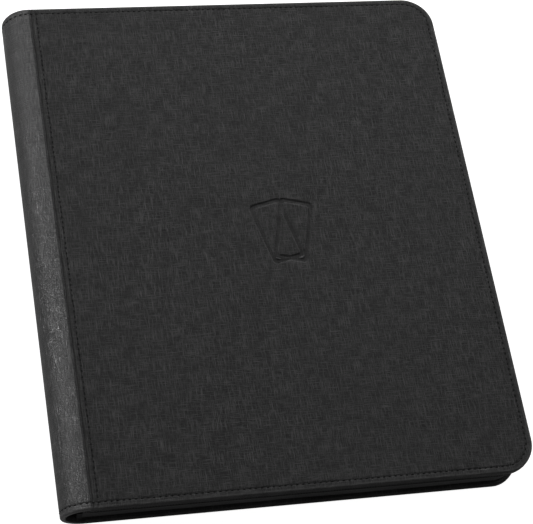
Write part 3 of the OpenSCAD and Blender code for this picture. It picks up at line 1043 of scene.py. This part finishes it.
def teeth(name, line, low, high, first, zipper):
    """Chamfered coil elements along the zip line."""
    x, y, nx, ny = walk(*line, zipper.pitch)
    tip, half = TOOTH_TIP, TOOTH_HALF
    loop = [(-half, low + tip), (-half, high - 2 * tip), (-half + tip, high), (half - tip, high)]
    loop += [(half, high - 2 * tip), (half, low + tip), (half - tip, low), (-half + tip, low)]
    points, place, faces = [], [], []
    for index in range(len(x)):
        start = len(points)
        tx, ty = -ny[index], nx[index]
        for end in (-0.5, 0.5):
            shift = end * TOOTH_LONG + first * zipper.pitch
            for out, up in loop:
                px, py = x[index] + nx[index] * out, y[index] + ny[index] * out
                points.append((px + tx * shift, py + ty * shift, up))
                place.append((out + index * 3 * MM, up, end * TOOTH_LONG))
        faces += [[start + v for v in f] for f in tube_faces(2, len(loop), flip=True)]
    return new_piece(name, points, faces, stuff("Zip teeth"), {"place": place}, crease=20)


def teeth_down(name, line, span, first, zipper):
    """The front half's teeth, which point the other way."""
    made = teeth(name, line, THICK - span[1], THICK - span[0], first, zipper)
    mesh = made.data
    flat = np.empty(len(mesh.vertices) * 3)
    mesh.vertices.foreach_get("co", flat)
    flat[2::3] = THICK - flat[2::3]
    mesh.vertices.foreach_set("co", flat)
    mesh.flip_normals()
    return made


def build_zipper(cover, zipper):
    low, high = TAPE_LO.z, CHAIN_LO.z + 0.2 * MM
    tape = []
    for i in range(TAPE_POINTS + 1):
        t = i / TAPE_POINTS
        rib = 0.5 - 0.5 * math.cos(2 * math.pi * TAPE_RIBS * t)
        tape.append((-zipper.rib * rib, low + (high - low) * t))
    tape += [(-TAPE_THICK, high), (-TAPE_THICK, low)]
    radius = cover.corner_radius - (FRONT_HI.x - TAPE_HI.x)
    tape_line = zip_line(TAPE_LO, TAPE_HI, radius, TAPE_PATH_STEP)
    reach = (CHAIN_HI.x - TAPE_HI.x) + TAPE_THICK / 2
    mid_lo, mid_hi = CHAIN_LO + Vector((0, reach, 0)), CHAIN_HI - Vector((reach, reach, 0))
    chain_line = zip_line(mid_lo, mid_hi, radius - TAPE_THICK / 2, 1 * MM)
    cord_z = CHAIN_LO.z + 0.35 * MM
    top = MID_Z + 0.32 * MM
    for side, flip, offset in (("back", False, -HALF_PITCH), ("front", True, HALF_PITCH)):
        turned = mirrored if flip else (lambda p: p)
        strip = sweep(f"zip_tape_{side}", tape_line, turned(tape), stuff("Zip tape"), TAPE_SWAY)
        span = sorted((THICK - v if flip else v) for v in (CHAIN_LO.z, top))
        if flip:
            row = teeth_down(f"zip_teeth_{side}", chain_line, span, offset, zipper)
        else:
            row = teeth(f"zip_teeth_{side}", chain_line, span[0], span[1], offset, zipper)
        pieces = [(strip, f"zipper_tape_{side}", "zip_tape"), (row, f"zipper_chain_{side}", "zip_chain")]
        for label, out in (("outer", TOOTH_HALF), ("inner", -TOOTH_HALF)):
            ring = []
            for j in range(CORD_SIDES):
                turn = 2 * math.pi * j / CORD_SIDES
                ring.append((out + CORD_R * math.cos(turn), cord_z + CORD_R * math.sin(turn)))
            seam = sweep(f"zip_cord_{side}_{label}", chain_line, turned(ring), stuff("Zip teeth"))
            pieces.append((seam, f"zipper_chain_{side}", "zip_chain"))
        for piece, node, slot in pieces:
            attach(piece, f"{side}_cover")
            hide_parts(node)


# --- Pages ---

POCKET_SLOPE = 3 * MM


def pocket_lines(start, end, count, weld):
    """Grid positions and the pocket spans between start and end."""
    width = (end - start) / count
    spans = [(start + k * width + weld / 2, start + (k + 1) * width - weld / 2) for k in range(count)]
    lines = [start, end]
    for a, b in spans:
        for share in (0, 0.25, 0.55, 1):
            lines += [a + share * POCKET_SLOPE, b - share * POCKET_SLOPE]
        lines += [a + (b - a) * t for t in (0.25, 0.5, 0.75)]
    return sorted(lines), spans


def rise_over(values, spans):
    total = np.zeros(len(values))
    for a, b in spans:
        t = np.clip(np.minimum(values - a, b - values) / POCKET_SLOPE, 0, 1)
        total = np.maximum(total, t * t * (3 - 2 * t))
    return total


def build_pages(pages):
    for name in PAGES:
        lo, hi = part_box(name)
        xs, across = pocket_lines(lo.x + pages.root_margin, hi.x, pages.columns, pages.weld)
        ys, up = pocket_lines(lo.y, hi.y, pages.rows, pages.weld)
        xs = np.array([lo.x, lo.x + pages.root_margin / 2] + xs)
        ys = np.array(ys)
        rise = np.outer(rise_over(ys, up), rise_over(xs, across)).ravel()
        gx, gy = (g.ravel() for g in np.meshgrid(xs, ys))
        mid, half = (lo.z + hi.z) / 2, (hi.z - lo.z) / 2
        z = half - pages.pillow + pages.pillow * rise
        count = len(gx)
        points = np.concatenate([np.column_stack([gx, gy, mid + z]), np.column_stack([gx, gy, mid - z])])
        rows, columns = len(ys), len(xs)
        faces = grid_faces(rows, columns) + grid_faces(rows, columns, count, flip=True)
        grid = np.arange(count).reshape(rows, columns)
        rim = list(grid[0]) + list(grid[1:, -1]) + list(grid[-1, -2::-1]) + list(grid[-2:0:-1, 0])
        for a, b in zip(rim, rim[1:] + rim[:1]):
            faces.append([int(b), int(a), int(a) + count, int(b) + count])
        seed = 0.05 * int(name[5:])
        place = points + np.array([0, 0, seed])
        weld = np.concatenate([1 - rise, 1 - rise])
        fields = {"place": place, "weld": weld}
        sheet = new_piece(f"{name}_pockets", points, faces, stuff("Page film"), fields)
        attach(sheet, name)
        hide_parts(name)


# --- Boards, lining and fittings ---

FITTINGS = {
    "Greyboard": ["front_cover_board", "back_cover_board"] + STAVES,
    "Foam": ["front_cover_foam", "back_cover_foam"],
    "Lining cloth": ["front_cover_lining", "back_cover_lining"],
    "Binding cloth": ["page_binding_strip"],
    "Moulded stop": ["zipper_head_stop_back", "zipper_head_stop_front", "zipper_tail_box"],
    "Zip tab cloth": ["zipper_end_tab_head", "zipper_end_tab_tail"],
    "Black enamel": ["zipper_slider", "zipper_pull_pin", "zipper_pull_tab"],
}
SOFT_EDGE = {"Black enamel": 0.25 * MM, "Moulded stop": 0.2 * MM, "Zip tab cloth": 0.2 * MM}
PLAIN_EDGE = 0.12 * MM


def dress_fittings():
    for finish, nodes in FITTINGS.items():
        for node in nodes:
            part = bpy.data.objects[node]
            if not part.material_slots:
                part.data.materials.append(stuff(finish))
            for material_slot in part.material_slots:
                material_slot.material = stuff(finish)
            bevel = part.modifiers.new("Soft edge", "BEVEL")
            bevel.width = SOFT_EDGE.get(finish, PLAIN_EDGE)
            bevel.segments = 3
            bevel.limit_method = "ANGLE"
            bevel.angle_limit = math.radians(40)


# --- Stage ---

AIM = Vector((-0.56, -21.11, 32)) * MM
SENSOR = 36
FLOOR_DROP = 0.15 * MM
FLOOR_SIZE = 8.0
FLOOR_WHITE = 0.55
FLOOR_GLOW = 0.95
WORLD_LIGHT = 0.19
LIGHTS = (
    ("Key", (0.4, 1.5, 1.0), 0.9, 11.6),
    ("Top", (0.1, 0.9, 1.7), 1.4, 3.0),
    ("Spine", (-1.2, 0.58, 1.08), 0.28, 12.5),
    ("Rim", (1.7, 0.9, 0.32), 0.5, 7.0),
)


def build_stage(stage):
    mesh = bpy.data.meshes.new("studio_floor")
    half = FLOOR_SIZE / 2
    corners = [(-half, -half), (half, -half), (half, half), (-half, half)]
    mesh.from_pydata([(x, y, -FLOOR_DROP) for x, y in corners], [], [[0, 1, 2, 3]])
    floor = bpy.data.objects.new("studio_floor", mesh)
    collection().objects.link(floor)
    made, tree, shader, where = surface("Studio floor", False)
    soft = speckle(tree, stretch(tree, where, 0.4), 2.0)
    colour = blend_colour(tree, soft, (FLOOR_WHITE,) * 3, (FLOOR_WHITE - 0.02,) * 3)
    tree.links.new(colour, shader.inputs["Base Color"])
    shader.inputs["Roughness"].default_value = 0.9
    shader.inputs["Specular IOR Level"].default_value = 0.1
    shader.inputs["Emission Color"].default_value = (1, 1, 1, 1)
    seen = tree.nodes.new("ShaderNodeLightPath").outputs["Is Camera Ray"]
    tree.links.new(times(tree, seen, FLOOR_GLOW), shader.inputs["Emission Strength"])
    mesh.materials.append(made)
    objects = [floor]
    for name, at, size, energy in LIGHTS:
        light = bpy.data.lights.new(name, "AREA")
        light.shape = "DISK"
        light.size = size
        light.energy = energy
        lamp = bpy.data.objects.new(name, light)
        lamp.location = at
        lamp.rotation_euler = (AIM - Vector(at)).to_track_quat("-Z", "Y").to_euler()
        collection().objects.link(lamp)
        objects.append(lamp)
    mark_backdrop(*objects)
    world = bpy.data.worlds.new("Studio")
    world.use_nodes = True
    world.node_tree.nodes["Background"].inputs["Color"].default_value = (1, 1, 1, 1)
    world.node_tree.nodes["Background"].inputs["Strength"].default_value = WORLD_LIGHT
    scene = bpy.context.scene
    scene.world = world
    scene.view_settings.view_transform = "Standard"
    lens = bpy.data.cameras.new("Camera")
    lens.lens = stage.lens
    lens.sensor_width = SENSOR
    camera = bpy.data.objects.new("Camera", lens)
    collection().objects.link(camera)
    az, el = stage.azimuth, stage.elevation
    back = Vector((math.cos(el) * math.sin(az), -math.cos(el) * math.cos(az), math.sin(el)))
    level = Vector((math.cos(az), math.sin(az), 0))
    right = level * math.cos(stage.roll) + back.cross(level) * math.sin(stage.roll)
    turn = Matrix((right, back.cross(right), back)).transposed().to_4x4()
    camera.matrix_world = Matrix.Translation(AIM + back * stage.distance) @ turn
    scene.camera = camera


# --- Operators ---


class BINDER_OT_covers(bpy.types.Operator):
    """Build the padded skins of the two covers"""

    bl_idname = "binder.covers"
    bl_label = "Covers"

    def execute(self, context):
        build_covers(context.scene.binder_cover, context.scene.binder_stitch)
        return {"FINISHED"}


class BINDER_OT_spine(bpy.types.Operator):
    """Build the leather, foam and lining that wrap the round spine"""

    bl_idname = "binder.spine"
    bl_label = "Spine"

    def execute(self, context):
        build_spine(context.scene.binder_cover, context.scene.binder_stitch)
        return {"FINISHED"}


class BINDER_OT_stitching(bpy.types.Operator):
    """Sew the edge, hinge and spine-end rows"""

    bl_idname = "binder.stitching"
    bl_label = "Stitching"

    def execute(self, context):
        build_stitching(context.scene.binder_cover, context.scene.binder_stitch)
        return {"FINISHED"}


class BINDER_OT_zipper(bpy.types.Operator):
    """Build the zipper tapes, teeth and sewing cords"""

    bl_idname = "binder.zipper"
    bl_label = "Zipper"

    def execute(self, context):
        build_zipper(context.scene.binder_cover, context.scene.binder_zip)
        return {"FINISHED"}


class BINDER_OT_pages(bpy.types.Operator):
    """Build the pocket pages"""

    bl_idname = "binder.pages"
    bl_label = "Pages"

    def execute(self, context):
        build_pages(context.scene.binder_page)
        return {"FINISHED"}


class BINDER_OT_fittings(bpy.types.Operator):
    """Finish the boards, lining, slider and other fittings"""

    bl_idname = "binder.fittings"
    bl_label = "Boards and fittings"

    def execute(self, context):
        dress_fittings()
        return {"FINISHED"}


class BINDER_OT_stage(bpy.types.Operator):
    """Set up the floor, light and camera"""

    bl_idname = "binder.stage"
    bl_label = "Stage"

    def execute(self, context):
        build_stage(context.scene.binder_stage)
        return {"FINISHED"}


class BINDER_PT_panel(bpy.types.Panel):
    """Buttons and settings for the binder"""

    bl_label = "Card binder"
    bl_idname = "BINDER_PT_panel"
    bl_space_type = "VIEW_3D"
    bl_region_type = "UI"
    bl_category = "Binder"

    def draw(self, context):
        for operator in OPERATORS:
            self.layout.operator(operator.bl_idname)
        for name, settings in SETTINGS.items():
            box = self.layout.box()
            for key in settings.__annotations__:
                box.prop(getattr(context.scene, name), key)


OPERATORS = (
    BINDER_OT_covers,
    BINDER_OT_spine,
    BINDER_OT_stitching,
    BINDER_OT_zipper,
    BINDER_OT_pages,
    BINDER_OT_fittings,
    BINDER_OT_stage,
)
SETTINGS = {
    "binder_cover": BinderCoverSettings,
    "binder_stitch": BinderStitchSettings,
    "binder_page": BinderPageSettings,
    "binder_zip": BinderZipSettings,
    "binder_stage": BinderStageSettings,
}


def register():
    for made in (*SETTINGS.values(), *OPERATORS, BINDER_PT_panel):
        bpy.utils.register_class(made)
    for name, settings in SETTINGS.items():
        setattr(bpy.types.Scene, name, bpy.props.PointerProperty(type=settings))


def unregister():
    for name in SETTINGS:
        delattr(bpy.types.Scene, name)
    for made in (BINDER_PT_panel, *OPERATORS[::-1], *list(SETTINGS.values())[::-1]):
        bpy.utils.unregister_class(made)


def plain(value):
    """Vectors and tuples as plain lists."""
    if isinstance(value, dict):
        return {key: plain(part) for key, part in value.items()}
    if isinstance(value, (Vector, tuple, list)):
        return [plain(part) for part in value]
    return value


def main():
    register()
    bpy.ops.binder.covers()
    bpy.ops.binder.spine()
    bpy.ops.binder.stitching()
    bpy.ops.binder.zipper()
    bpy.ops.binder.pages()
    bpy.ops.binder.fittings()
    bpy.ops.binder.stage()
    {"packed": plain(PACKED_BOUNDS), "visual": plain(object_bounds())}


if __name__ == "__main__":
    main()
